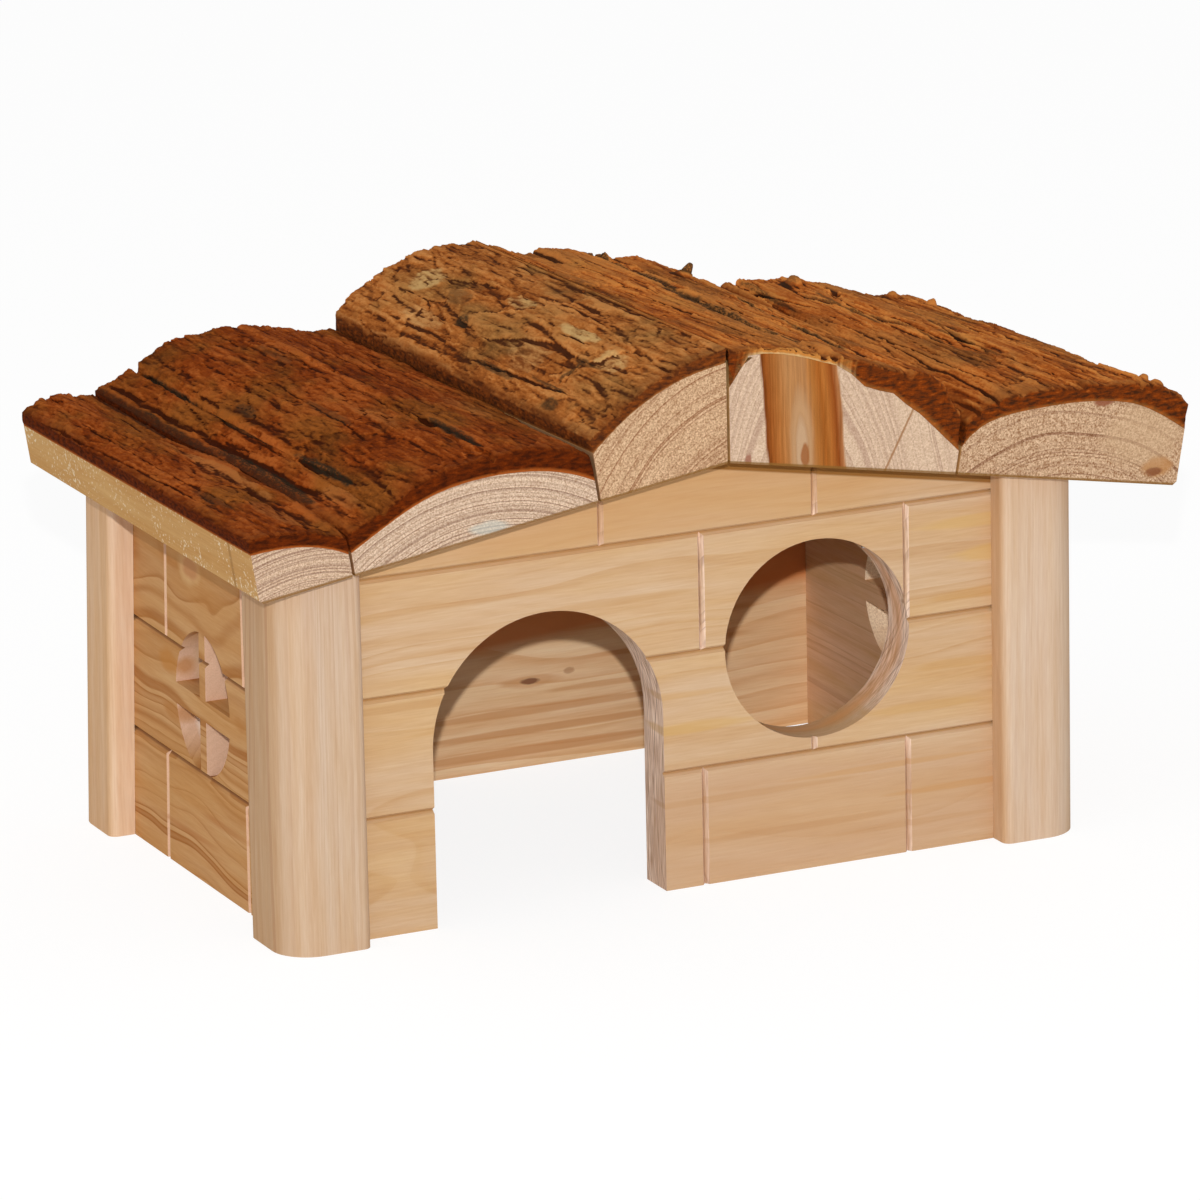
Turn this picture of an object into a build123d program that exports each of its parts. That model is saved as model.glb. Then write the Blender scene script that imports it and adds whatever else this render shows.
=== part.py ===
from build123d import *
from collections import namedtuple
from itertools import accumulate
from math import atan2, cos, degrees, radians, sin, tan
import os

# Wooden hamster house: four pine panels, four corner mouldings, and a roof of five bark-faced slabs.
# Millimetres. The origin is on the ground, under the middle of the ridge. X runs along the front
# from left to right, Y from the front to the back, and Z is up.

# Walls
body_length = 175.0  # over the outer faces of the corner mouldings
body_depth = 111.0
body_shift = -7.0  # middle of the walls, measured from the ridge
eave_height = 74.4  # underside of the roof over the outer faces of the mouldings
ridge_height = 88.6  # underside of the roof at the ridge
panel_thickness = 9.0
glue_line = 0.05  # between two glued or nailed faces

# Corner mouldings, L-shaped, around the corners of the panels
moulding_thickness = 5.3
moulding_front_leg = 18.0
moulding_side_leg = 18.8
corner_radius = 8.0
leg_edge_radius = 1.8

# The left end panel is warped: upright beside the moulding in front of it, it leans inwards at the
# back, and the moulding behind leans with it.
warp = 1.8  # degrees

# Door and round window of the front panel, placed from the middle of the walls
door_x = -28.5
door_width = 49.7
door_height = 61.0
window_x = 30.5
window_z = 47.4
window_radius = 20.4

# Barred windows of the end panels
end_window_y = -1.2
end_window_z = 37.2
end_window_radius = 14.6
upright_bar_width = 3.2
level_bar_width = 4.4
level_bar_drop = 1.2  # its middle below the middle of the window

# V-grooves that mark out the blocks of the walls
long_courses = (24.15, 24.15, 24.15)  # heights of all courses but the topmost, bottom one first
end_courses = (22.5, 23.3)
groove_width = 1.4
groove_depth = 1.0
groove_overrun = 0.4  # how far each cut reaches outside the wood
long_joints = [(5.2, 50.4), (29.5,), (5.2, 50.4), (-16.4, 30.2)]  # along X, bottom course first
end_joints = [(-23.7, 18.5), (), (-23.7, 18.5)]  # along Y, bottom course first

# Roof
roof_overhang = 4.4  # past the mouldings, in front and behind
left_overhang = 5.2  # past the mouldings, level, at the underside
right_overhang = 18.8
slab_gap = 0.6  # between neighbouring slabs, and between the two halves at the ridge
eave_corner = 0.8  # worn lower corner along both eaves

# Widths of the slabs along the slope, as (in front, behind). The one beside the ridge takes the rest.
slab_1_width = (19.9, 16.0)
slab_2_width = (52.7, 54.0)
slab_5_width = (50.2, 46.3)

# Heights of each slab's wood above the underside, and thicknesses of the bark on it, square to the
# slope, as (in front, behind), at equal steps from the slab's upper edge to its lower edge.
wood_1 = (
    (4.6, 7.3, 8.9, 9.7, 10.0),
    (7.3, 8.6, 9.9, 9.8, 8.8),
)
bark_1 = (
    (3.2, 3.1, 3.0, 3.0, 2.8),
    (4.0, 3.2, 3.5, 3.4, 3.2),
)
wood_2 = (
    (4.5, 8.9, 11.0, 11.7, 10.9, 8.2, 4.7),
    (6.9, 8.0, 9.9, 12.3, 13.4, 13.5, 13.5, 12.0, 9.8, 7.9),
)
bark_2 = (
    (5.4, 4.9, 4.3, 3.8, 3.5, 3.4, 3.3),
    (3.6, 3.5, 3.7, 3.7, 3.8, 3.7, 3.7, 3.8, 3.8, 4.0),
)
wood_3 = (
    (20.0, 19.8, 19.2, 17.9, 16.0, 13.3, 10.0),
    (16.8, 17.5, 17.9, 17.1, 15.4, 12.9, 8.2),
)
bark_3 = (
    (2.7, 2.7, 2.7, 2.7, 2.7, 2.7, 2.7),
    (3.2, 3.5, 3.4, 3.4, 3.5, 3.9, 4.0),
)
wood_4 = (
    (14.9, 21.5, 22.1, 22.2, 22.0, 21.6, 21.0, 20.5, 19.0, 16.7, 16.0, 15.6, 13.5, 11.8, 9.5, 7.1, 4.8),
    (15.8, 16.0, 15.6, 15.2, 15.6, 16.0, 16.0, 15.8, 15.5, 14.6, 14.4, 13.8, 12.6, 11.6, 10.4, 9.4, 8.9),
)
bark_4 = (
    (7.4, 1.4, 1.3, 1.3, 1.3, 1.4, 1.5, 1.7, 2.9, 4.6, 4.8, 5.0, 7.0, 8.6, 9.5, 8.6, 7.4),
    (4.0, 3.4, 2.9, 2.5, 3.2, 3.4, 3.3, 3.3, 3.2, 3.8, 4.3, 4.6, 4.8, 4.9, 5.0, 4.9, 4.9),
)
wood_5 = (
    (5.6, 11.3, 13.4, 14.8, 15.9, 16.4, 16.2, 14.4, 11.6),
    (9.2, 10.4, 11.2, 11.6, 11.7, 11.2, 10.7, 10.0, 9.0),
)
bark_5 = (
    (4.8, 4.0, 3.6, 3.5, 3.5, 3.6, 4.2, 5.4, 5.0),
    (4.7, 5.0, 4.8, 4.5, 3.8, 3.6, 3.4, 4.0, 5.2),
)

# Long furrows in the bark of each slab: the share of the slab's width from its upper edge, and the
# depth, each as (in front, behind)
furrow_width = 2.8
furrow_rise = 0.6  # how far each cut reaches over the bark
furrows_1 = [((0.68, 0.64), (0.5, 0.7))]
furrows_2 = [((0.39, 0.38), (1.4, 0.5)), ((0.85, 0.83), (1.2, 1.8))]
furrows_3 = [((0.38, 0.30), (0.9, 0.8)), ((0.80, 0.72), (1.0, 0.8))]
furrows_4 = [((0.19, 0.14), (0.6, 0.9)), ((0.43, 0.51), (0.7, 1.8)), ((0.76, 0.76), (1.4, 1.3))]
furrows_5 = [((0.24, 0.06), (1.0, 1.4)), ((0.50, 0.42), (1.1, 1.3)), ((0.78, 0.74), (1.3, 1.2))]

# Brads, driven down through the slabs and, under the mouldings, through the panels' ends
brad_diameter = 1.2
brad_head_diameter = 2.0
brad_head_height = 0.8
roof_brad_length = 30.0
roof_brad_cover = 1.0  # wood over each head
wall_brad_length = 25.0
wall_brad_heights = (12.0, 29.0, 44.0)  # below the tips of the roof's brads

# Slopes of the roof
LEFT = -1
RIGHT = 1

# Planes that the pieces share
left_face = body_shift - body_length / 2
right_face = body_shift + body_length / 2
side_face = body_depth / 2
recess = moulding_thickness + glue_line
panel_left = left_face + recess
panel_right = right_face - recess
panel_front = -side_face + recess
panel_back = side_face - recess
roof_front = -side_face - roof_overhang
roof_back = side_face + roof_overhang
roof_rise = ridge_height - eave_height
pitch = {LEFT: atan2(roof_rise, -left_face), RIGHT: atan2(roof_rise, right_face)}
slope_length = {
    LEFT: (left_overhang - left_face) / cos(pitch[LEFT]),
    RIGHT: (right_overhang + right_face) / cos(pitch[RIGHT]),
}


def up_from_eave(side, distance):
    """(in front, behind) down the slope from the ridge, of a line at those distances from the eave."""
    return tuple(slope_length[side] - d for d in distance)


# A slab runs from the front to the back, between two edges down its slope: the ridge, a joint or the
# eave. A jagged slab has split wood under its bark. Its brads are placed at shares of its width, from
# its upper edge.
Slab = namedtuple("Slab", "side upper lower wood bark furrows jagged brads")
RIDGE = "ridge"
EAVE = "eave"
left_joint_low = up_from_eave(LEFT, slab_1_width)
left_joint_high = up_from_eave(LEFT, [low + width for low, width in zip(slab_1_width, slab_2_width)])
right_joint = up_from_eave(RIGHT, slab_5_width)
SLABS = [
    Slab(LEFT, left_joint_low, EAVE, wood_1, bark_1, furrows_1, False, (0.12,)),
    Slab(LEFT, left_joint_high, left_joint_low, wood_2, bark_2, furrows_2, False, (0.17, 0.81)),
    Slab(LEFT, RIDGE, left_joint_high, wood_3, bark_3, furrows_3, False, (0.25, 0.78)),
    Slab(RIGHT, RIDGE, right_joint, wood_4, bark_4, furrows_4, True, (0.16, 0.79)),
    Slab(RIGHT, right_joint, EAVE, wood_5, bark_5, furrows_5, False, (0.15, 0.4)),
]


def underside(x):
    """Height of the roof's underside at x."""
    return ridge_height - abs(x) * tan(pitch[LEFT if x < 0 else RIGHT])


def on_slope(side, down, height):
    """(x, z) of the point that far down the slope from the ridge and that high above its underside."""
    angle = pitch[side]
    x = side * (down * cos(angle) + height * sin(angle))
    z = ridge_height - down * sin(angle) + height * cos(angle)
    return x, z


def prism(points, direction):
    """A solid with that flat polygon of 3-D points as one end."""
    return Solid.extrude(Face(Wire.make_polygon(points)), Vector(*direction))


def v_groove(start, end, inward):
    """The cut of one V-groove from start to end in a face, where inward points into the wood."""
    start = Vector(*start)
    along = Vector(*end) - start
    inward = Vector(*inward)
    half_mouth = groove_width / 2 * (1 + groove_overrun / groove_depth)
    across = along.cross(inward).normalized() * half_mouth
    mouth = start - inward * groove_overrun
    return prism([mouth + across, mouth - across, start + inward * groove_depth], tuple(along))


def under_roof():
    """The space under the roof, as long and deep as the walls, less the glue line."""
    outline = [
        (left_face, roof_front, 0),
        (right_face, roof_front, 0),
        (right_face, roof_front, underside(right_face) - glue_line),
        (0, roof_front, ridge_height - glue_line),
        (left_face, roof_front, underside(left_face) - glue_line),
    ]
    return prism(outline, (0, roof_back - roof_front, 0))


def brad(length):
    """One brad that points down, with the top of its head at the origin."""
    head = Cylinder(brad_head_diameter / 2, brad_head_height, align=(Align.CENTER, Align.CENTER, Align.MAX))
    shank = Cylinder(brad_diameter / 2, length, align=(Align.CENTER, Align.CENTER, Align.MAX))
    return head + shank


def level_grooves(courses):
    """Heights of the grooves between courses of those heights."""
    return list(accumulate(courses))


def upright_grooves(courses, joints):
    """(place, bottom, top) of each upright groove, the topmost ones running out through the roof line."""
    levels = [0, *level_grooves(courses), ridge_height + groove_width]
    return [(at, low, high) for row, low, high in zip(joints, levels, levels[1:]) for at in row]


def long_panel(outer_y, inward_y, lean):
    """The blank of the front or the back panel, with its grooves, where inward_y is +1 or -1.

    Its left end leans inwards by that many degrees.
    """
    inner_y = outer_y + inward_y * panel_thickness
    low_y = min(outer_y, inner_y)
    outline = [
        (panel_left, low_y, 0),
        (panel_right, low_y, 0),
        (panel_right, low_y, ridge_height),
        (panel_left + ridge_height * tan(radians(lean)), low_y, ridge_height),
    ]
    panel = under_roof() & prism(outline, (0, panel_thickness, 0))
    inward = (0, inward_y, 0)
    for z in level_grooves(long_courses):
        start = (panel_left - groove_overrun, outer_y, z)
        end = (panel_right + groove_overrun, outer_y, z)
        panel -= v_groove(start, end, inward)
    for x, bottom, top in upright_grooves(long_courses, long_joints):
        at = body_shift + x
        panel -= v_groove((at, outer_y, bottom), (at, outer_y, top), inward)
    return panel


def front_panel():
    """The front panel, with the arched door and the round window cut right through."""
    panel = long_panel(panel_front, 1, 0)
    arch_radius = door_width / 2
    arch_centre = door_height - arch_radius
    through = 3 * panel_thickness
    middle = panel_front + panel_thickness / 2
    door = Pos(body_shift + door_x, middle, arch_centre) * Rot(90, 0, 0) * Cylinder(arch_radius, through)
    door += Pos(body_shift + door_x, middle, arch_centre / 2) * Box(door_width, through, arch_centre)
    window = Pos(body_shift + window_x, middle, window_z) * Rot(90, 0, 0) * Cylinder(window_radius, through)
    return panel - door - window


def back_panel():
    """The plain back panel, with the block pattern on its outer face."""
    return long_panel(panel_back, -1, warp)


def end_panel(outer_x, inward_x, lean):
    """An end panel between the two long ones, with a round window that leaves a cross of wood.

    Between the mouldings it warps from upright in front to leaning inwards by that many degrees.
    """
    front_y = panel_front + panel_thickness + glue_line
    back_y = panel_back - panel_thickness - glue_line
    flat_front = -side_face + moulding_side_leg
    flat_back = side_face - moulding_side_leg

    def outer_face(y, z):
        share = min(max((y - flat_front) / (flat_back - flat_front), 0), 1)
        return outer_x + inward_x * share * z * tan(radians(lean))

    def section(y):
        corners = []
        for depth, z in ((0, 0), (panel_thickness, 0), (panel_thickness, ridge_height), (0, ridge_height)):
            corners.append((outer_face(y, z) + inward_x * depth, y, z))
        return Wire.make_polygon(corners)

    sections = [section(y) for y in (front_y, flat_front, flat_back, back_y)]
    panel = under_roof() & Solid.make_loft(sections, ruled=True)
    inward = (inward_x, 0, 0)
    stations = (front_y - groove_overrun, flat_front, flat_back, back_y + groove_overrun)
    for z in level_grooves(end_courses):
        for start, end in zip(stations, stations[1:]):
            panel -= v_groove((outer_face(start, z), start, z), (outer_face(end, z), end, z), inward)
    for y, bottom, top in upright_grooves(end_courses, end_joints):
        panel -= v_groove((outer_face(y, bottom), y, bottom), (outer_face(y, top), y, top), inward)
    through = 3 * panel_thickness
    across = 2 * end_window_radius
    hole = Rot(0, 90, 0) * Cylinder(end_window_radius, through)
    hole -= Box(through, upright_bar_width, across)
    hole -= Pos(0, 0, -level_bar_drop) * Box(through, across, level_bar_width)
    return panel - Pos(outer_x, end_window_y, end_window_z) * hole


def corner_moulding(x_side, y_side, lean):
    """The L-shaped moulding at one corner, cut to the ground and to the slope of the roof.

    Each side is +1 or -1. It leans towards +X by that many degrees.
    """
    from_corner = (Align.MIN, Align.MIN, Align.CENTER)
    block = Box(moulding_front_leg, moulding_side_leg, 3 * ridge_height, align=from_corner)
    notch = Pos(moulding_thickness, moulding_thickness, 0) * Box(
        moulding_front_leg,
        moulding_side_leg,
        3 * ridge_height,
        align=from_corner,
    )
    upright = block.edges().filter_by(Axis.Z)
    outer = upright.sort_by(lambda e: e.center().X + e.center().Y)[0]
    front_edge = upright.sort_by(lambda e: e.center().X - e.center().Y)[-1]
    side_edge = upright.sort_by(lambda e: e.center().Y - e.center().X)[-1]
    block = fillet(outer, corner_radius)
    edges = block.edges().filter_by(Axis.Z)
    ends = [
        edges.sort_by(lambda e: (e.center() - front_edge.center()).length)[0],
        edges.sort_by(lambda e: (e.center() - side_edge.center()).length)[0],
    ]
    piece = fillet(ends, leg_edge_radius) - notch
    if x_side > 0:
        piece = mirror(piece, Plane.YZ)
    if y_side > 0:
        piece = mirror(piece, Plane.XZ)
    corner_x = right_face if x_side > 0 else left_face
    corner_y = side_face if y_side > 0 else -side_face
    return under_roof() & Pos(corner_x, corner_y, 0) * Rot(0, lean, 0) * piece


def upper_edge(slab, end, height):
    """How far down the slope a slab's upper edge is at that height, in front (0) or behind (1)."""
    if slab.upper == RIDGE:
        angle = pitch[slab.side]
        return (slab_gap / 2 - height * sin(angle)) / cos(angle)
    return slab.upper[end] + slab_gap / 2


def lower_edge(slab, end):
    """How far down the slope a slab's lower edge is, in front (0) or behind (1)."""
    if slab.lower == EAVE:
        return slope_length[slab.side]
    return slab.lower[end] - slab_gap / 2


def crown(slab, end, heights):
    """Points (x, y, z) of a slab's rounded top at those heights, from its upper to its lower edge."""
    y = (roof_front, roof_back)[end]
    upper = upper_edge(slab, end, heights[0])
    lower = lower_edge(slab, end)
    points = []
    for i, height in enumerate(heights):
        down = upper + (lower - upper) * i / (len(heights) - 1)
        x, z = on_slope(slab.side, down, height)
        points.append((x, y, z))
    return points


def wood_and_bark_heights(slab, end):
    """The heights of the wood, and of the bark on it, above the underside."""
    wood = slab.wood[end]
    return wood, [w + b for w, b in zip(wood, slab.bark[end])]


def top_edges(points, jagged):
    """The edge or edges through the points of a rounded or a split top."""
    if jagged:
        return [Edge.make_line(a, b) for a, b in zip(points, points[1:])]
    return [Edge.make_spline([Vector(*p) for p in points])]


def wood_section(slab, end):
    """The outline of the wood at one end of a slab."""
    y = (roof_front, roof_back)[end]
    top = crown(slab, end, wood_and_bark_heights(slab, end)[0])
    lower = lower_edge(slab, end)
    flat = [(lower, 0), (upper_edge(slab, end, 0), 0)]
    if slab.lower == EAVE:
        flat = [(lower, eave_corner), (lower - eave_corner, 0), flat[1]]
    corners = [top[-1]]
    for down, height in flat:
        x, z = on_slope(slab.side, down, height)
        corners.append((x, y, z))
    corners.append(top[0])
    sides = [Edge.make_line(a, b) for a, b in zip(corners, corners[1:])]
    return Wire(top_edges(top, slab.jagged) + sides)


def bark_section(slab, end):
    """The outline of the bark at one end of a slab, which follows the wood's top."""
    wood, bark = wood_and_bark_heights(slab, end)
    under = crown(slab, end, wood)
    over = crown(slab, end, bark)
    sides = [Edge.make_line(under[-1], over[-1]), Edge.make_line(over[0], under[0])]
    return Wire(top_edges(under, slab.jagged) + sides + top_edges(over, False))


def furrow(slab, shares, depths):
    """The cut of one long furrow in a slab's bark, at those shares of its width and with those depths."""
    sections = []
    for end, (share, depth) in enumerate(zip(shares, depths)):
        tops = wood_and_bark_heights(slab, end)[1]
        upper = upper_edge(slab, end, tops[0])
        down = between(upper, lower_edge(slab, end), share)
        y = (roof_front - groove_overrun, roof_back + groove_overrun)[end]
        height = height_at(tops, share)
        mouth = furrow_width / 2
        corners = []
        for aside, up in ((-mouth, furrow_rise), (mouth, furrow_rise), (0, -depth)):
            x, z = on_slope(slab.side, down + aside, height + up)
            corners.append((x, y, z))
        sections.append(Wire.make_polygon(corners))
    return Solid.make_loft(sections, ruled=True)


def between(low, high, share):
    """The value that share of the way from low to high."""
    return low + (high - low) * share


def height_at(heights, share):
    """The height at that share of a slab's width."""
    at = share * (len(heights) - 1)
    step = int(at)
    return between(heights[step], heights[step + 1], at - step)


def roof_brad_places(slab):
    """Where the brads of one slab go: the top of each head, square to the underside."""
    places = []
    for y in (panel_front + panel_thickness / 2, panel_back - panel_thickness / 2):
        back = (y - roof_front) / (roof_back - roof_front)
        upper = between(upper_edge(slab, 0, 0), upper_edge(slab, 1, 0), back)
        lower = between(lower_edge(slab, 0), lower_edge(slab, 1), back)
        for share in slab.brads:
            wood = between(height_at(slab.wood[0], share), height_at(slab.wood[1], share), back)
            x, z = on_slope(slab.side, between(upper, lower, share), wood - roof_brad_cover)
            places.append(Pos(x, y, z) * Rot(0, slab.side * degrees(pitch[slab.side]), 0))
    return places


def wall_brad_places():
    """Where the brads through the panels' ends go, with their heads level with the outer faces."""
    places = []
    for x in (panel_left + panel_thickness / 2, panel_right - panel_thickness / 2):
        for z in wall_brad_heights:
            places.append(Pos(x, panel_front, z) * Rot(90, 0, 0))
            places.append(Pos(x, panel_back, z) * Rot(-90, 0, 0))
    return places


roof_brads = [place * brad(roof_brad_length) for slab in SLABS for place in roof_brad_places(slab)]
wall_brads = [place * brad(wall_brad_length) for place in wall_brad_places()]

pieces = {
    "front_panel": front_panel(),
    "back_panel": back_panel(),
    "left_end_panel": end_panel(panel_left, 1, warp),
    "right_end_panel": end_panel(panel_right, -1, 0),
}
for name in pieces:
    for nail in roof_brads + wall_brads:
        pieces[name] -= nail

for y_name, y_side in (("front", -1), ("back", 1)):
    for x_name, x_side in (("left", -1), ("right", 1)):
        lean = warp if (x_name, y_name) == ("left", "back") else 0
        pieces[f"corner_moulding_{y_name}_{x_name}"] = corner_moulding(x_side, y_side, lean)

for number, slab in enumerate(SLABS, 1):
    wood = Solid.make_loft([wood_section(slab, 0), wood_section(slab, 1)], ruled=True)
    bark = Solid.make_loft([bark_section(slab, 0), bark_section(slab, 1)], ruled=True)
    for shares, depths in slab.furrows:
        bark -= furrow(slab, shares, depths)
    for place in roof_brad_places(slab):
        wood -= place * brad(roof_brad_length)
    pieces[f"roof_slab_{number}"] = wood
    pieces[f"roof_bark_{number}"] = bark

pieces["roof_brads"] = Compound(children=roof_brads)
pieces["wall_brads"] = Compound(children=wall_brads)

os.makedirs("parts", exist_ok=True)
for name, piece in pieces.items():
    export_step(piece, f"parts/{name}.step")
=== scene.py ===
import bpy
import math
import numpy as np
from mathutils import Matrix, Vector
from mathutils.bvhtree import BVHTree


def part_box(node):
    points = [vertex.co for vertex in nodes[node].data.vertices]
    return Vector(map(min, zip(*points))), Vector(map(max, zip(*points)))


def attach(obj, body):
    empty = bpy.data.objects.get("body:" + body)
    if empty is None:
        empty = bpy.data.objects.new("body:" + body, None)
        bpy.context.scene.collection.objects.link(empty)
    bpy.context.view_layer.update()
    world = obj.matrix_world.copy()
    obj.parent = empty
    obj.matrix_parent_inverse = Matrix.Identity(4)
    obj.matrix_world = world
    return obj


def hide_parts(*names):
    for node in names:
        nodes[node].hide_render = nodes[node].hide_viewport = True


# Looks of the wooden hamster house, in metres, in the CAD model's frame: +X along the front, +Y to the
# back, +Z up, with the origin on the ground under the middle of the ridge.

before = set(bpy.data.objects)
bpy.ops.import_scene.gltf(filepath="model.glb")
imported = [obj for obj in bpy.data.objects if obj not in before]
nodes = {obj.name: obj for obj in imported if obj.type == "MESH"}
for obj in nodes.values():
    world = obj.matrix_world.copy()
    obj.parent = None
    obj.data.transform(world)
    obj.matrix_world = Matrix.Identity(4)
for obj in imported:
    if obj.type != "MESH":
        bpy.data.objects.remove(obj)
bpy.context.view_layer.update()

MM = 0.001
X, Y, Z = 0, 1, 2


# ---------------- noise on grids of points

def hashed(ix, iy, seed):
    """One random number from 0 to 1 for each lattice point."""
    h = ix.astype(np.int64) * 374761393 + iy.astype(np.int64) * 668265263 + seed * 97463477
    h = h & 0xFFFFFFFF
    h = ((h ^ (h >> 13)) * 1274126177) & 0xFFFFFFFF
    h = ((h ^ (h >> 15)) * 668265263) & 0xFFFFFFFF
    return ((h ^ (h >> 16)) & 0xFFFFFF) / float(0xFFFFFF)


def noise(x, y, seed):
    """Smooth gradient noise, from about -1 to 1."""
    x, y = np.broadcast_arrays(np.asarray(x, float), np.asarray(y, float))
    x0, y0 = np.floor(x), np.floor(y)
    fx, fy = x - x0, y - y0
    u = fx ** 3 * (fx * (fx * 6 - 15) + 10)
    v = fy ** 3 * (fy * (fy * 6 - 15) + 10)
    total = np.zeros_like(fx)
    for dx in (0, 1):
        for dy in (0, 1):
            angle = hashed(x0 + dx, y0 + dy, seed) * 2 * math.pi
            weight = (u if dx else 1 - u) * (v if dy else 1 - v)
            total += weight * (np.cos(angle) * (fx - dx) + np.sin(angle) * (fy - dy))
    return total * 1.45


def octaves(x, y, seed, count=3, gain=0.5):
    """Noise with finer noise added, from about -1 to 1."""
    total = 0
    size = 0
    for i in range(count):
        total = total + noise(x * 2 ** i, y * 2 ** i, seed + 31 * i) * gain ** i
        size += gain ** i
    return total / size


def cells(x, y, seed):
    """Irregular cells: distance to the cell's edge, its random number, and offset from its middle."""
    x0, y0 = np.floor(x), np.floor(y)
    best = np.full(x.shape, 9.0)
    second = np.full(x.shape, 9.0)
    number = np.zeros(x.shape)
    off_x = np.zeros(x.shape)
    off_y = np.zeros(x.shape)
    for dx in (-1, 0, 1):
        for dy in (-1, 0, 1):
            cx, cy = x0 + dx, y0 + dy
            px = cx + 0.5 + 0.9 * (hashed(cx, cy, seed) - 0.5)
            py = cy + 0.5 + 0.9 * (hashed(cx, cy, seed + 7) - 0.5)
            away = np.hypot(px - x, py - y)
            nearer = away < best
            second = np.where(nearer, best, np.minimum(second, away))
            number = np.where(nearer, hashed(cx, cy, seed + 13), number)
            off_x = np.where(nearer, x - px, off_x)
            off_y = np.where(nearer, y - py, off_y)
            best = np.where(nearer, away, best)
    return second - best, number, off_x, off_y


def step(low, high, value):
    """0 below low, 1 above high, smooth between."""
    t = np.clip((value - low) / (high - low), 0, 1)
    return t * t * (3 - 2 * t)


def placed(name, data):
    """A new object in the scene."""
    made = bpy.data.objects.new(name, data)
    bpy.context.collection.objects.link(made)
    return made


# ---------------- materials

def new_material(name, roughness, specular):
    """A material with its node tree and its shader."""
    material = bpy.data.materials.new(name)
    material.use_nodes = True
    shader = material.node_tree.nodes["Principled BSDF"]
    shader.inputs["Roughness"].default_value = roughness
    shader.inputs["Specular IOR Level"].default_value = specular
    return material, material.node_tree, shader


def tree_of(*values):
    """The node tree that the values come from; some of them may be plain numbers or colours."""
    return next(value.id_data for value in values if isinstance(value, bpy.types.NodeSocket))


def feed(socket, value):
    """Gives an input a value or another node's output."""
    if isinstance(value, bpy.types.NodeSocket):
        socket.id_data.links.new(value, socket)
    else:
        socket.default_value = value


def add(tree, kind, settings=None, **inputs):
    """A new node. A name like i0 is the input of that number."""
    made = tree.nodes.new("ShaderNode" + kind)
    for key, value in (settings or {}).items():
        setattr(made, key, value)
    for key, value in inputs.items():
        numbered = key[0] == "i" and key[1:].isdigit()
        feed(made.inputs[int(key[1:]) if numbered else key], value)
    return made


def maths(operation, a, b=0.0):
    """A value from one or two others."""
    return add(tree_of(a, b), "Math", {"operation": operation}, i0=a, i1=b).outputs[0]


def plus(a, b):
    return maths("ADD", a, b)


def minus(a, b):
    return maths("SUBTRACT", a, b)


def times(a, b):
    return maths("MULTIPLY", a, b)


def over(a, b):
    return maths("DIVIDE", a, b)


def vectors(operation, a, **others):
    """A vector node's outputs: the vector, and a number where the operation gives one."""
    return add(tree_of(a), "VectorMath", {"operation": operation}, i0=a, **others).outputs


def xyz(vector):
    """A vector's x, y and z."""
    return add(tree_of(vector), "SeparateXYZ", i0=vector).outputs


def facing(place, axis):
    """How far the surface at that place faces along an axis, from -1 to 1."""
    return xyz(add(tree_of(place), "NewGeometry").outputs["Normal"])[axis]


def mix(share, a, b, blend="MIX"):
    """Colour a with that share of colour b mixed in."""
    made = add(tree_of(share, a, b), "Mix", {"data_type": "RGBA", "blend_type": blend})
    for i, value in ((0, share), (6, a), (7, b)):
        feed(made.inputs[i], (*value, 1) if isinstance(value, tuple) else value)
    return made.outputs[2]


def ramp(value, stops):
    """Colours or greys along a value. Each stop is (place, grey) or (place, (r, g, b))."""
    made = add(tree_of(value), "ValToRGB", i0=value)
    elements = made.color_ramp.elements
    while len(elements) < len(stops):
        elements.new(1.0)
    for element, (place, colour) in zip(elements, stops):
        element.position = place
        element.color = (*colour, 1) if isinstance(colour, tuple) else (colour, colour, colour, 1)
    return made.outputs[0]


def fade(value, low, high, before=0, after=1):
    """A number that goes from before to after while the value goes from low to high."""
    return ramp(value, [(low, before), (high, after)])


def millimetres(tree):
    """Where a point is, in millimetres."""
    place = add(tree, "TexCoord").outputs["Object"]
    return vectors("SCALE", place, Scale=1 / MM)[0]


def cloud(place, sizes, shift=(0, 0, 0), detail=2.0, roughness=0.5, output="Fac"):
    """Noise from 0 to 1, in lumps of these sizes."""
    tree = tree_of(place)
    scaled = add(tree, "Mapping", Vector=place, Scale=[1 / size for size in sizes], Location=shift).outputs[0]
    return add(tree, "TexNoise", Vector=scaled, Scale=1.0, Detail=detail, Roughness=roughness).outputs[output]


def along(axis, length, across):
    """Sizes that draw noise out along the grain."""
    return [length if i == axis else across for i in range(3)]


def spot(place, centre, radii, ragged=0.25, soft=0.35):
    """1 inside an oval place with an uneven, soft edge, and 0 outside. All in millimetres."""
    away = vectors("DIVIDE", vectors("SUBTRACT", place, i1=centre)[0], i1=radii)[0]
    uneven = cloud(away, (1 / 1.3, 1 / 1.3, 1 / 1.3), centre)
    away = vectors("LENGTH", away)["Value"]
    away = plus(away, times(minus(uneven, 0.5), 2 * ragged))
    return fade(away, 1 - soft, 1, 1, 0)


WOOD_ROUGHNESS = 0.62


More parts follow.
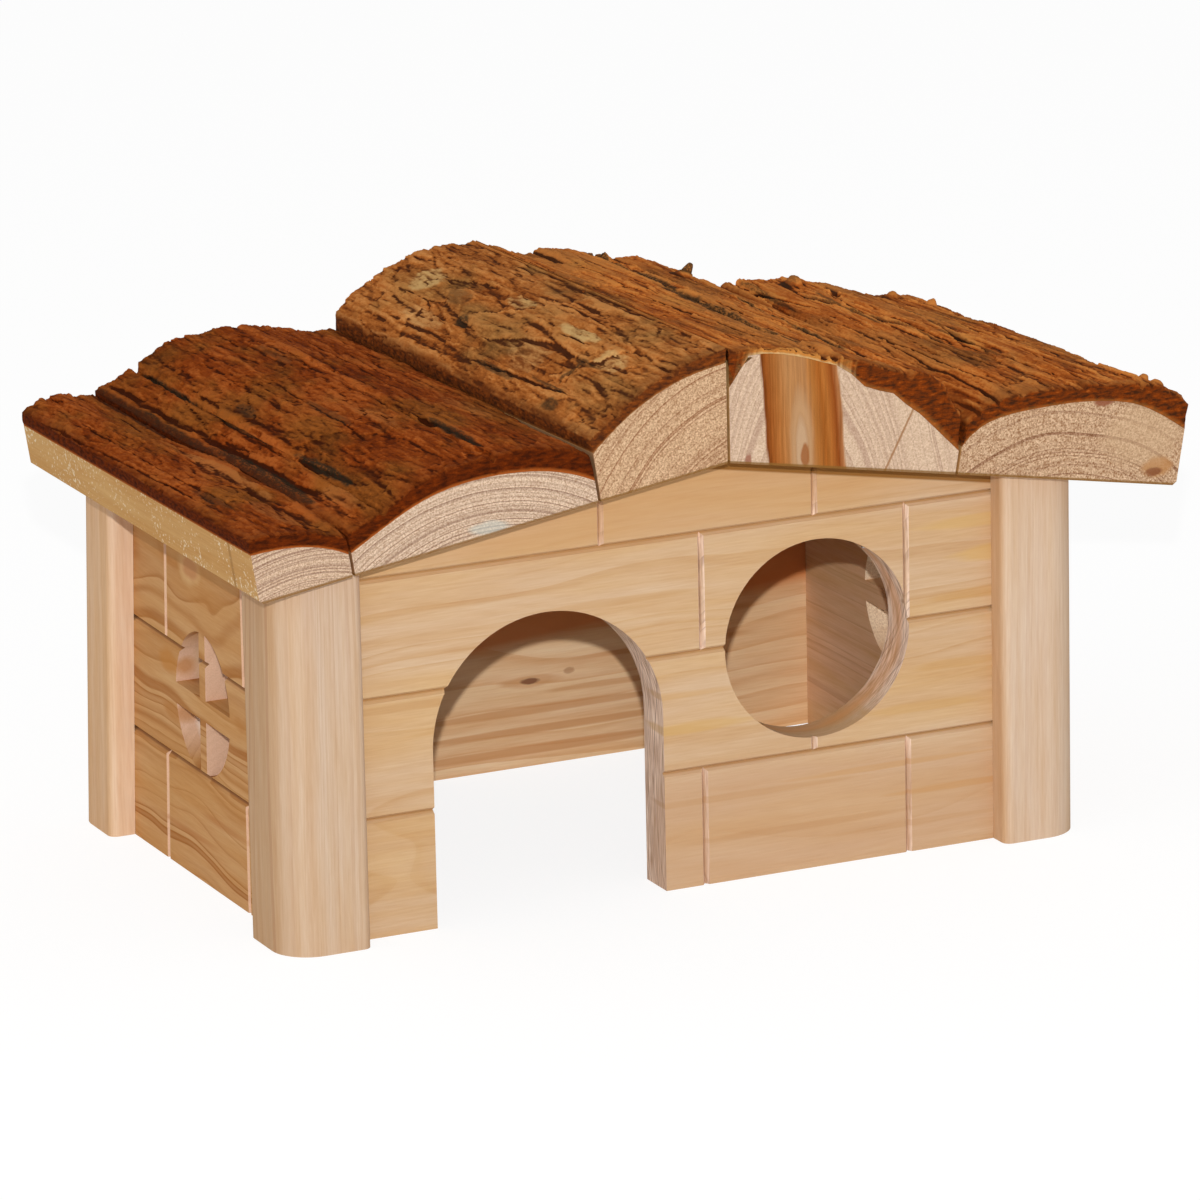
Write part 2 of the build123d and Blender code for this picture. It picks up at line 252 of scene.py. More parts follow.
def wood(
    name, axis, pith, ring, early, late, blush, end_early=(0.66, 0.47, 0.34), end_late=(0.50, 0.31, 0.21),
    flatten=1.0, wave=3.0, wave_length=90.0, contrast=0.6, end_contrast=0.75, patches=0.5, rough=0.15,
    torn=(0.32, 0.32), places=(), finish=None, seed=0.0,
):
    """Bare sawn softwood, cut from a log: growth rings round the pith, drawn out along the grain's axis.

    pith is where the log's middle passes the other two axes, and ring the width of a year's growth, both in
    millimetres; flatten draws the rings out along the last axis. early and late are the pale and the dark
    part of a ring on the long faces, and blush the colour of the warmer patches. The rings wander by wave
    over each wave_length, and contrast and end_contrast are how plain they are on the long faces and on the
    ends. rough is how speckled the saw left the ends, and torn the size of its specks across them. places are
    coloured spots (centre, radii, colour, strength, and a last True where the ends stay clear of it), and
    finish is a function that changes the colour last.
    """
    material, tree, shader = new_material(name, WOOD_ROUGHNESS, 0.0)
    place = millimetres(tree)
    shift = (seed * 17.3, seed * 9.1, seed * 23.7)
    drift = cloud(place, along(axis, wave_length, 26), shift, 1.5, 0.4, "Color")
    drift = vectors("SUBTRACT", drift, i1=(0.5, 0.5, 0.5))[0]
    bent = vectors("ADD", place, i1=vectors("SCALE", drift, Scale=2 * wave)[0])[0]
    u, v = [part for i, part in enumerate(xyz(bent)) if i != axis]
    u = minus(u, pith[0])
    v = over(minus(v, pith[1]), flatten)
    radius = maths("SQRT", plus(times(u, u), times(v, v)))
    rings = over(radius, ring)
    uneven = add(tree, "TexNoise", {"noise_dimensions": "1D"}, W=times(rings, 0.31), Detail=1.0)
    rings = plus(rings, times(uneven.outputs["Fac"], 2.4))
    year = maths("FRACT", rings)
    which = maths("FLOOR", rings)
    lateness = ramp(year, [(0.0, 0.25), (0.06, 0.0), (0.5, 0.12), (0.78, 0.55), (0.93, 1.0), (1.0, 0.8)])
    strength = add(tree, "TexWhiteNoise", {"noise_dimensions": "1D"}, W=which).outputs["Value"]
    lateness = times(lateness, plus(times(strength, 0.6), 0.4))

    fibre = cloud(place, along(axis, 7, 0.35), shift, 3, 0.6)
    streak = cloud(place, along(axis, 34, 2.6), shift)
    patch = fade(cloud(place, along(axis, 60, 9), shift), 0.42, 0.66)

    faces = mix(times(lateness, contrast), early, late)
    faces = mix(times(patch, patches), faces, blush)
    shade = ramp(streak, [(0.3, (0.96, 0.90, 0.82)), (0.7, (1.03, 1.05, 1.08))])
    faces = mix(1, faces, shade, "MULTIPLY")
    shade = ramp(fibre, [(0.3, (0.94, 0.90, 0.86)), (0.72, (1.03, 1.05, 1.06))])
    faces = mix(1, faces, shade, "MULTIPLY")

    sizes = list(torn)
    sizes.insert(axis, 2.0)
    speckle = cloud(place, sizes, shift, roughness=0.6)
    ends = mix(times(lateness, end_contrast), end_early, end_late)
    specks = ramp(speckle, [
        (0.32, (1 - 1.3 * rough, 1 - 1.7 * rough, 1 - 2.0 * rough)),
        (0.68, (1 + 0.8 * rough, 1 + rough, 1 + 1.1 * rough)),
    ])
    ends = mix(1, ends, specks, "MULTIPLY")

    is_end = fade(maths("ABSOLUTE", facing(place, axis)), 0.45, 0.85)
    colour = mix(is_end, faces, ends)
    not_end = minus(1, is_end)
    for centre, radii, tint, strength, *long_faces_only in places:
        share = times(spot(place, centre, radii), strength)
        if long_faces_only:
            share = times(share, not_end)
        colour = mix(share, colour, tint)
    if finish:
        colour = finish(place, colour, is_end)
    feed(shader.inputs["Base Color"], colour)

    relief = plus(times(fibre, 0.5), times(speckle, is_end))
    relief = minus(relief, times(lateness, 0.15))
    bump = add(tree, "Bump", Strength=0.35 + rough, Distance=0.00012, Height=relief)
    feed(shader.inputs["Normal"], bump.outputs[0])
    return material


# Finishes: each changes a wood's colour last.
RIDGE_FOOT = 88.6  # height in millimetres of the slabs' undersides at the ridge
LEFT_SLOPE = -0.150
RIGHT_SLOPE = 0.176


def below_roof(place):
    """How far a place is below the planes that the slabs rest on, in centimetres."""
    x, _, z = xyz(place)
    fall = maths("MAXIMUM", times(x, LEFT_SLOPE), times(x, RIGHT_SLOPE))
    return over(minus(minus(RIDGE_FOOT, fall), z), 10)


def low_edge(place, colour, is_end):
    """The brown line along a slab's lower edge."""
    height = times(below_roof(place), -1)
    upright = fade(maths("ABSOLUTE", facing(place, Z)), 0.7, 0.9, 0.85, 0)
    share = times(upright, fade(height, 0.035, 0.06, 1, 0))
    return mix(share, colour, (0.25, 0.12, 0.03))


def heartwood(place, colour, is_end):
    """The red-brown heart that the fourth slab's saw cuts laid bare: an upright band with a paler middle."""
    start, width = 15.4, 17.4
    x, _, z = xyz(place)
    bend = cloud(place, (20, 50, 1 / 0.11))
    across = plus(plus(x, times(z, 0.07)), bend)
    streak = cloud(place, (0.55, 20, 14), (3, 1, 2), 3, 0.6)
    across = plus(across, streak)
    share = over(minus(across, start), width)
    band = ramp(share, [
        (0, (0.44, 0.22, 0.1)), (0.03, (0.2, 0.05, 0.01)), (0.08, (0.34, 0.095, 0.018)),
        (0.2, (0.44, 0.16, 0.04)), (0.34, (0.5, 0.235, 0.085)), (0.56, (0.5, 0.23, 0.085)),
        (0.64, (0.45, 0.17, 0.04)), (0.74, (0.38, 0.115, 0.02)), (0.8, (0.45, 0.155, 0.032)),
        (0.9, (0.31, 0.075, 0.014)), (0.97, (0.46, 0.19, 0.07)), (1, (0.6, 0.38, 0.22)),
    ])
    band = mix(1, band, fade(streak, 0.3, 0.7, 0.72, 1.15), "MULTIPLY")
    inside = times(fade(share, 0, 0.03), fade(share, 0.97, 1, 1, 0))
    colour = mix(times(inside, is_end), colour, band)
    eye_centre = (15.9, -60, 89.5)
    for half_width, half_height, tint in (
        (3, 14, (0.4, 0.2, 0.09)), (2.7, 13.4, (0.58, 0.35, 0.18)),
        (1.7, 7.6, (0.4, 0.21, 0.1)), (1.4, 7, (0.62, 0.42, 0.26)),
    ):
        eye = spot(place, eye_centre, (half_width, 40, half_height), 0.2, 0.3)
        colour = mix(times(times(eye, is_end), 0.6), colour, tint)
    stem = spot(place, (16.6, -60, 88), (1.1, 30, 2.8), 0.25, 0.3)
    colour = mix(times(times(stem, is_end), 0.85), colour, (0.33, 0.11, 0.03))
    crack_lean, crack_foot = -0.551, 11.54
    crack = plus(plus(x, times(z, crack_lean)), crack_foot)
    crack = times(fade(maths("ABSOLUTE", crack), 0.12, 0.4, 1, 0), is_end)
    colour = mix(times(crack, 0.85), colour, (0.36, 0.17, 0.07))
    return low_edge(place, colour, is_end)


def sawdust(place, colour, is_end):
    """Pale sawdust and torn fibres on a rough-sawn side, and a dark line of painted shade along its facet in
    front.
    """
    facet = -48.5
    not_end = minus(1, is_end)
    fine = cloud(place, (0.8, 0.8, 0.8), (5, 2, 7), roughness=0.6)
    where = cloud(place, (14, 14, 9), (1, 4, 2), roughness=0.6)
    dust = plus(fine, times(minus(where, 0.5), 0.5))
    dust = times(fade(dust, 0.6, 0.66), not_end)
    colour = mix(times(dust, 0.8), colour, (0.86, 0.72, 0.50))
    # A dark line of painted shade along the facet.
    line = maths("ABSOLUTE", minus(xyz(place)[1], facet))
    line = times(fade(line, 0.25, 0.9, 1, 0), not_end)
    return low_edge(place, mix(times(line, 0.6), colour, (0.34, 0.17, 0.06)), is_end)


def painted_shade_left_side(place, colour, is_end):
    """Painted shade: the side that faces -X is darker and yellower."""
    share = fade(times(facing(place, X), -1), 0.55, 0.95)
    return mix(share, colour, mix(1, colour, (0.90, 0.81, 0.69), "MULTIPLY"))


def painted_roof_shadow(place, colour, is_end):
    """A painted shadow along the front wall's top edge, under the edge of the roof."""
    share = fade(below_roof(place), 0.32, 0.36, 0.9, 0)
    return mix(share, colour, (0.27, 0.115, 0.022))


def painted_shadow_above(place, colour, is_end):
    """Painted shadow: the back wall's inner face is darker and redder in its upper part."""
    x, y, z = xyz(place)
    level = minus(z, times(x, 0.077))
    share = fade(over(level, 100), 0.255, 0.28, 0, 0.9)
    share = times(share, fade(over(y, 100), 0.42, 0.44, 1, 0))
    return mix(share, colour, (0.72, 0.26, 0.085))


def darker_joint_sides(place, colour, is_end):
    """The sides of a slab that stand in a joint of the roof are darker."""
    share = fade(maths("ABSOLUTE", facing(place, X)), 0.8, 0.9, 0, 0.9)
    return low_edge(place, mix(share, colour, (0.38, 0.20, 0.10)), is_end)


def bark_material(name, crack, deep, mid, light, pale, dull, inner, grain, seed):
    """Rough bark. Its mesh carries the height, the hollows, the plates, the paler places, and the green-black
    places, partly painted shade.

    crack, deep, mid and light are its colours from the bottom of a crack to a flake's edge, pale the colour
    of the places where the outer bark is worn off, and dull that of the weathered patches. inner is how
    plainly the inner bark shows in the cut walls, and grain the length of the fine streaks, in millimetres.
    """
    material, tree, shader = new_material(name, 0.9, 0.04)
    place = millimetres(tree)
    shift = (seed * 13.1, seed * 5.7, seed * 3.9)
    carried = {
        key: add(tree, "Attribute", {"attribute_name": key}).outputs["Fac"]
        for key in ("relief", "hollow", "plate", "worn", "discoloured_and_shaded", "cut", "rim")
    }
    lump = cloud(place, (9, 30, 9), shift, 3, 0.6)
    streak = cloud(place, (1.1, grain, 1.1), shift, 4, 0.6)
    weather = cloud(place, (13, 26, 13), shift[::-1], 3, 0.6)
    grit = cloud(place, (0.45, 1.1, 0.45), shift, 3, 0.65)

    # The hollows darken the tone and the raised edges lighten it: grime with painted shade in the hollows,
    # and painted highlights on the edges.
    tone = times(carried["plate"], 0.16)
    for part, middle, weight in (
        (lump, 0.5, 1.0), (streak, 0.5, 0.8), (grit, 0.5, 0.5), (carried["hollow"], 0.0, 0.9),
    ):
        tone = plus(tone, times(minus(part, middle), weight))
    tone = plus(tone, 0.42)
    colour = ramp(tone, [(0.2, deep), (0.5, mid), (0.8, light)])
    dulled = ramp(tone, [(0.2, tuple(c * 0.35 for c in dull)), (0.75, dull)])
    colour = mix(fade(weather, 0.46, 0.62, 0, 0.8), colour, dulled)
    worn = times(carried["worn"], fade(tone, 0.25, 0.6, 0.15, 1))
    colour = mix(worn, colour, pale)
    # The deepest hollows take the crack's colour: grime and painted shade.
    lines = fade(times(carried["hollow"], -1), 0.08, 0.24, 0, 0.9)
    colour = mix(lines, colour, crack)
    # The deepest places take a green-black crack colour, partly painted shade.
    deep_colour_and_shade = fade(times(carried["relief"], -0.5), 0.42, 0.8)
    mossy = mix(fade(grit, 0.5, 0.65), crack, (0.07, 0.055, 0.02))
    colour = mix(deep_colour_and_shade, colour, mossy)
    # Green-black places, partly real discolouring and partly painted shade in the deep cracks and under
    # raised flakes.
    green_black_and_shade = plus(times(grit, 1.4), times(streak, 0.6))
    green_black_and_shade = times(carried["discoloured_and_shaded"], fade(green_black_and_shade, 0.8, 1.02, 0.45, 1))
    colour = mix(times(green_black_and_shade, 0.92), colour, (0.03, 0.022, 0.012))
    halfway = tuple((a + b) / 2 for a, b in zip(deep, crack))
    colour = mix(times(carried["rim"], 0.7), colour, halfway)

    across = minus(carried["cut"], 1.0)
    layers = cloud(place, (2.2, 1.6, 0.7), shift, 3, 0.6)
    sawn = ramp(layers, [(0.36, crack), (0.62, deep), (0.84, mid)])
    line = times(fade(across, 0.8, 0.95), inner)
    sawn = mix(line, sawn, light)
    inner_bark = mix(fade(across, 0.55, 0.9), pale, (0.86, 0.58, 0.26))
    sawn = mix(times(carried["worn"], 0.85), sawn, inner_bark)
    colour = mix(maths("MINIMUM", carried["cut"], 1.0), colour, sawn)
    feed(shader.inputs["Base Color"], colour)

    height = plus(times(streak, 0.9), times(grit, 0.6))
    bump = add(tree, "Bump", Strength=0.8, Distance=0.0003, Height=height)
    feed(shader.inputs["Normal"], bump.outputs[0])
    return material


# ---------------- bark

class Roof:
    """One slab's place on its slope: distances down the slope from the ridge, and heights square to it."""

    def __init__(self, number):
        self.bark = nodes[f"roof_bark_{number}"]
        slab = nodes[f"roof_slab_{number}"]
        under = sum((p.normal * p.area for p in slab.data.polygons if p.normal.z < -0.9), Vector())
        self.up = -under.normalized()
        self.side = -1 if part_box(f"roof_slab_{number}")[0].x < -5 * MM else 1
        self.down = Vector((self.side * self.up.z, 0, -abs(self.up.x)))
        self.tree = BVHTree.FromPolygons(
            [v.co for v in self.bark.data.vertices], [tuple(p.vertices) for p in self.bark.data.polygons]
        )
        low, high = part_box(f"roof_bark_{number}")
        self.front, self.back = low.y, high.y

    def section(self, y, count):
        """(distances down the slope, heights of the top, heights of the bottom) across the bark at that y."""
        inside = 0.02 * MM
        end = [v.co for v in self.bark.data.vertices if abs(v.co.y - y) < inside]
        downs = [p.dot(self.down) for p in end]
        places = np.linspace(min(downs) + inside, max(downs) - inside, count)
        y = y + inside if y < 0 else y - inside
        far = 0.3
        tops = []
        bottoms = []
        for d in places:
            foot = self.down * float(d) + Vector((0, y, 0))
            tops.append(self.tree.ray_cast(foot + self.up * far, -self.up)[0].dot(self.up))
            bottoms.append(self.tree.ray_cast(foot - self.up * far, self.up)[0].dot(self.up))
        return places, np.array(tops), np.array(bottoms)


def lengths(x, z):
    """Distance along a curve, at each of its points."""
    return np.concatenate([[0], np.cumsum(np.hypot(np.diff(x), np.diff(z)))])


def running_mean(values, reach, axis):
    """Each value's mean with as many as reach neighbours on both sides."""
    pads = [(reach, reach) if i == axis else (0, 0) for i in range(2)]
    total = np.cumsum(np.pad(values, pads, mode="edge"), axis=axis)
    total = np.insert(total, 0, 0, axis=axis)
    window = 2 * reach + 1
    count = values.shape[axis]
    high = np.take(total, range(window, window + count), axis)
    return (high - np.take(total, range(count), axis)) / window


def hollows(high):
    """How far each point stands over its surroundings, in millimetres."""
    found = 0
    for reach, weight in ((3, 1.0), (9, 0.25)):
        around = running_mean(running_mean(high, reach, 0), reach, 1)
        around = running_mean(running_mean(around, reach, 0), reach, 1)
        found = found + weight * (high - around)
    return found


def spots(a, b, places, seed):
    """1 inside ragged oval spots (a, b, half width, half length, strength), and 0 outside."""
    total = 0 * a
    ragged = 0.45 * octaves(a / 2.2, b / 5.0, seed, 3, 0.6)
    for place_a, place_b, half_a, half_b, strength in places:
        away = np.hypot((a - place_a) / half_a, (b - place_b) / half_b)
        total = np.maximum(total, strength * (1 - step(0.75, 1.05, away + ragged)))
    return total


def bark_relief(a, b, style, seed):
    """Weathered bark over points a across and b along the slab: heights, plate numbers and cracks."""
    wa = a + 1.5 * noise(a / 10, b / 30, seed + 1) + 0.5 * noise(a / 2.8, b / 8, seed + 2)
    wa = wa + 0.2 * noise(a / 0.9, b / 2.4, seed + 3)
    wb = b + 4.0 * noise(a / 8, b / 22, seed + 4) + 1.8 * noise(a / 2.2, b / 5, seed + 5)
    wb = wb + 0.8 * style["drawn_out"] * noise(a / 0.8, b / 1.6, seed + 6)

    edge, number, off_a, off_b = cells(wa / style["plate"][0], wb / style["plate"][1], seed + 10)
    tilt = (number * 7.31 % 1 - 0.5) * off_a + (number * 3.77 % 1 - 0.5) * off_b
    high = (number - 0.5 + 0.6 * tilt) * style["plate_height"]
    split = 1 - step(0, 0.03 + 0.04 * number, edge)
    high = high - split * style["crack_depth"] * step(0, 0.5, noise(a / 9, b / 30, seed + 11))

    for i in range(5):
        drawn = wb / style["drawn_out"] / (38 - 5 * i)
        field = octaves(wa / (9.0 - 1.2 * i), drawn, seed + 20 + 5 * i, 3, 0.45)
        high = high + style["flake"] * (step(-0.01, 0.01, field - 0.16 + 0.11 * (i % 4)) - 0.5)

    strands = 1 - np.abs(noise(wa / style["strand"][0], wb / style["strand"][1], seed + 40)) * 2.2
    high = high + style["strand_height"] * strands
    run = np.abs(noise(wa / style["furrow"][0], wb / style["furrow"][1], seed + 60))
    furrow = 1 - step(0.01, 0.09, run)
    high = high - style["furrow_depth"] * furrow * step(-0.1, 0.3, noise(a / 14, b / 40, seed + 61))

    cracked = 0 * a
    for start, end, width, depth in style["cracks"]:
        lean = (end[0] - start[0]) / (end[1] - start[1])
        middle = start[0] + lean * (b - start[1])
        middle = middle + 0.5 * noise(b / 11, 0 * b, seed + 70) + 0.3 * noise(b / 2.5, 0 * b, seed + 71)
        near, far = sorted((start[1], end[1]))
        inside = step(near - 2, near + 7, b) * (1 - step(far - 7, far + 2, b))
        wide = width * (0.7 + 0.5 * noise(b / 5, 0 * b, seed + 72)) * np.maximum(inside, 0.05)
        away = np.abs(np.abs(a) - middle) / wide
        high = high - depth * inside * (1 - step(0.3, 1.0, away))
        cracked = np.maximum(cracked, step(0.7, 1.4, depth) * inside * (1 - step(0.9, 1.7, away)))

    high = high + 0.10 * noise(a / 0.6, b / style["drawn_out"] / 7, seed + 80)
    high = high + 0.05 * octaves(a / 0.45, b / 1.5, seed + 81, 2)
    crumbs = octaves(wa / 1.5, wb / 3.4, seed + 83, 3, 0.6)
    high = high + style["crumbs"] * (step(-0.05, 0.05, crumbs) + crumbs)
    return high, number, cracked


def knobs(a, b, places):
    """Heights of small knobs and standing flakes (a, b, half width, half length, height)."""
    total = 0 * a
    for place_a, place_b, half_a, half_b, height in places:
        away = ((a - place_a) / half_a) ** 2 + ((b - place_b) / half_b) ** 2
        total = np.maximum(total, height * np.exp(-away ** 2))
    return total


def bark_mesh(number, style, seed, material):
    """A slab's bark as one closed mesh: a weathered top, cut or broken walls and a plain bottom."""
    roof = Roof(number)
    count = 240
    front = roof.section(roof.front, count)
    back = roof.section(roof.back, count)
    reach = lengths(*front[:2])[-1], lengths(*back[:2])[-1]
    columns = int(max(reach) / MM / SPACING) + 1
    rows = int((roof.back - roof.front) / MM / SPACING) + 1
    share = np.linspace(0, 1, columns)

    def across(section):
        """The section's points at even steps along its top."""
        run = lengths(section[0], section[1])
        at = share * run[-1]
        return [np.interp(at, run, values) for values in section], at

    (front_down, front_top, front_bottom), front_at = across(front)
    (back_down, back_top, back_bottom), back_at = across(back)
    t = np.linspace(0, 1, rows)[:, None]
    wander = 0.9 * noise(share * 6, t * 11, seed + 97) + 0.35 * noise(share * 20, t * 40, seed + 98)
    wandered = np.clip(share + wander * np.minimum(share, 1 - share) * 4 * MM / max(reach), 0, 1)

    def furrows(section_top):
        """How far the top lies under its own smooth course, with each furrow's line wandering a little."""
        smooth = running_mean(section_top[None, :], int(5.0 / SPACING), 1)[0]
        return smooth, np.interp(wandered, share, section_top - smooth)

    front_smooth, front_dips = furrows(front_top)
    back_smooth, back_dips = furrows(back_top)
    down = front_down + (back_down - front_down) * t
    top = front_smooth + (back_smooth - front_smooth) * t + front_dips + (back_dips - front_dips) * t
    bottom = front_bottom + (back_bottom - front_bottom) * t
    a = (front_at + (back_at - front_at) * t) / MM
    y = (roof.front + (roof.back - roof.front) * t) + 0 * down
    b = y / MM

    high, plates, cracked = bark_relief(roof.side * a, b, style, seed)
    from_side = np.minimum(a + style["ridge_side"], a[:, -1:] - a)
    from_front = b - b[0, 0]
    from_back = b[-1, 0] - b
    thick = (top - bottom) / MM
    high = high - 0.35 * (1 - step(0, 1.2, from_side)) - 0.25 * (1 - step(0, 0.8, from_front))
    high = np.clip(high, THINNEST - thick, style["proud"]) + knobs(a, b, style["knobs"])
    slope = np.gradient(top, axis=1) / np.maximum(np.gradient(down, axis=1), 1e-9)
    steep = np.sqrt(1 + slope ** 2)
    up_share, down_share = 1 / steep, -slope / steep

    # Broken back edge: pulled in at the furrows and in ragged bites.
    ragged = style["bite"] * step(0, 0.6, octaves(a / 3.2, 0 * a, seed + 90))
    ragged = ragged + 0.25 * noise(a / 0.6, 0 * a, seed + 91)
    ragged = ragged + 1.4 * step(0.5, 1.6, -high)
    pull = step(10, 0, from_back) * ragged
    sway = 0.3 * noise(a / 1.5, 0 * a, seed + 92) * step(5, 0, from_front)
    out_y = y - np.clip(pull, 0, 3) * MM - sway * MM * 0.6

    roof_down = down + high * MM * down_share
    roof_up = top + high * MM * up_share

    def solid(d, h, y):
        """Points in the frame, from distances down the slope and heights square to it."""
        x = d * roof.down.x + h * roof.up.x
        z = d * roof.down.z + h * roof.up.z
        return np.stack([x, y, z], axis=-1)

    tops = solid(roof_down, roof_up, out_y)
    bottoms = solid(down, bottom + OFF_SLAB, out_y)
    for points in (tops, bottoms):
        points[..., 0] = roof.side * np.maximum(roof.side * points[..., 0], RIDGE_GAP)
    worn = spots(a, b, style["worn"], seed + 200)
    rim = np.clip(1.15 - from_front / 4.0, 0, 1) * (1 - worn)
    rim = np.maximum(np.maximum(rim, step(2.5, 0.5, from_side)), spots(a, b, style["dark"], seed + 215))
    ragged_rim = 0.75 + 0.5 * octaves(a / 2, b / 2, seed + 220)
    values = {
        "relief": high,
        "hollow": hollows(high),
        "plate": plates,
        "worn": worn,
        # The deep cracks join these dark places, as painted shade inside them.
        "discoloured_and_shaded": np.maximum(spots(a, b, style["discolour_and_shade"], seed + 210), cracked),
        "rim": rim * ragged_rim,
    }
    bark = build_bark(f"bark_{number}", tops, bottoms, values, seed)
    bark.data.materials.append(material)
    return bark


def border(rows, columns):
    """Grid places round a sheet, once round, as (row, column)."""
    ring = [(0, j) for j in range(columns)]
    ring += [(i, columns - 1) for i in range(1, rows)]
    ring += [(rows - 1, j) for j in range(columns - 2, -1, -1)]
    ring += [(i, 0) for i in range(rows - 2, 0, -1)]
    return ring


def build_bark(name, tops, bottoms, values, seed):
    """Joins the top, the walls and the bottom, and writes the values that the material reads."""
    rows, columns = tops.shape[:2]
    wall_steps = 8
    points = [tops.reshape(-1, 3)]
    written = {key: [grid.ravel()] for key, grid in values.items()}
    written["cut"] = [np.zeros(rows * columns)]
    ids = np.arange(rows * columns).reshape(rows, columns)
    faces = np.stack([ids[:-1, :-1], ids[:-1, 1:], ids[1:, 1:], ids[1:, :-1]], axis=-1).reshape(-1, 4)
    ring = np.array(border(rows, columns))
    round_i, round_j = ring[:, 0], ring[:, 1]
    upper = tops[round_i, round_j]
    lower = bottoms[round_i, round_j]
    run = np.arange(len(ring)) * SPACING
    outward = np.roll(lower, -1, axis=0) - np.roll(lower, 1, axis=0)
    outward = np.stack([outward[:, 1], -outward[:, 0], 0 * outward[:, 0]], axis=1)
    outward /= np.maximum(np.linalg.norm(outward, axis=1, keepdims=True), 1e-9)
    previous = ids[round_i, round_j]
    next_id = rows * columns
    side_faces = []
    for k in range(1, wall_steps + 1):
        share = k / wall_steps
        level = upper + (lower - upper) * share
        swell = math.sin(math.pi * share)
        rough = 0.28 * noise(run / 0.9, np.full(len(ring), k * 0.9), seed + 95) * swell
        rough = rough + 0.2 * noise(run / 4.0, np.full(len(ring), k * 0.4), seed + 96) * swell
        level = level - outward * ((0.12 + 0.5 * np.abs(rough)) * MM * swell)[:, None]
        own = np.arange(next_id, next_id + len(ring))
        next_id += len(ring)
        points.append(level)
        for key, grid in values.items():
            written[key].append(grid[round_i, round_j] * (1 if key == "worn" else 1 - share))
        written["cut"].append(np.full(len(ring), 1 + share))
        side_faces.append(np.stack([previous, own, np.roll(own, -1), np.roll(previous, -1)], axis=-1))
        previous = own
    faces = np.concatenate([faces] + side_faces)

    polygons = [tuple(f) for f in faces.tolist()]
    stride = 12
    lines = sorted({*range(0, rows, stride), rows - 1})
    marks = sorted({*range(0, columns, stride), columns - 1})
    place_of = {tuple(p): int(i) for p, i in zip(ring.tolist(), previous.tolist())}
    inner = []
    for i in lines[1:-1]:
        for j in marks[1:-1]:
            place_of[(i, j)] = next_id + len(inner)
            inner.append(bottoms[i, j])
    if inner:
        points.append(np.array(inner))
        for parts in written.values():
            parts.append(np.zeros(len(inner)))
    for i0, i1 in zip(lines, lines[1:]):
        for j0, j1 in zip(marks, marks[1:]):
            loop = []
            loop += [(i0, j) for j in (range(j0, j1) if i0 == 0 else (j0,))]
            loop += [(i, j1) for i in (range(i0, i1) if j1 == columns - 1 else (i0,))]
            loop += [(i1, j) for j in (range(j1, j0, -1) if i1 == rows - 1 else (j1,))]
            loop += [(i, j0) for i in (range(i1, i0, -1) if j0 == 0 else (i1,))]
            polygons.append(tuple(place_of[p] for p in reversed(loop)))

    mesh = bpy.data.meshes.new(name)
    mesh.from_pydata(np.concatenate(points).tolist(), [], polygons)
    for key, parts in written.items():
        attribute = mesh.attributes.new(key, "FLOAT", "POINT")
        attribute.data.foreach_set("value", np.concatenate(parts).astype(np.float32))
    mesh.validate()
    mesh.update()
    made = placed(name, mesh)
    mesh.polygons.foreach_set("use_smooth", np.ones(len(mesh.polygons), bool))
    if sum(p.area * p.normal.z for p in mesh.polygons[: (rows - 1) * (columns - 1)]) < 0:
        mesh.flip_normals()
    mesh.set_sharp_from_angle(angle=math.radians(50))
    return made
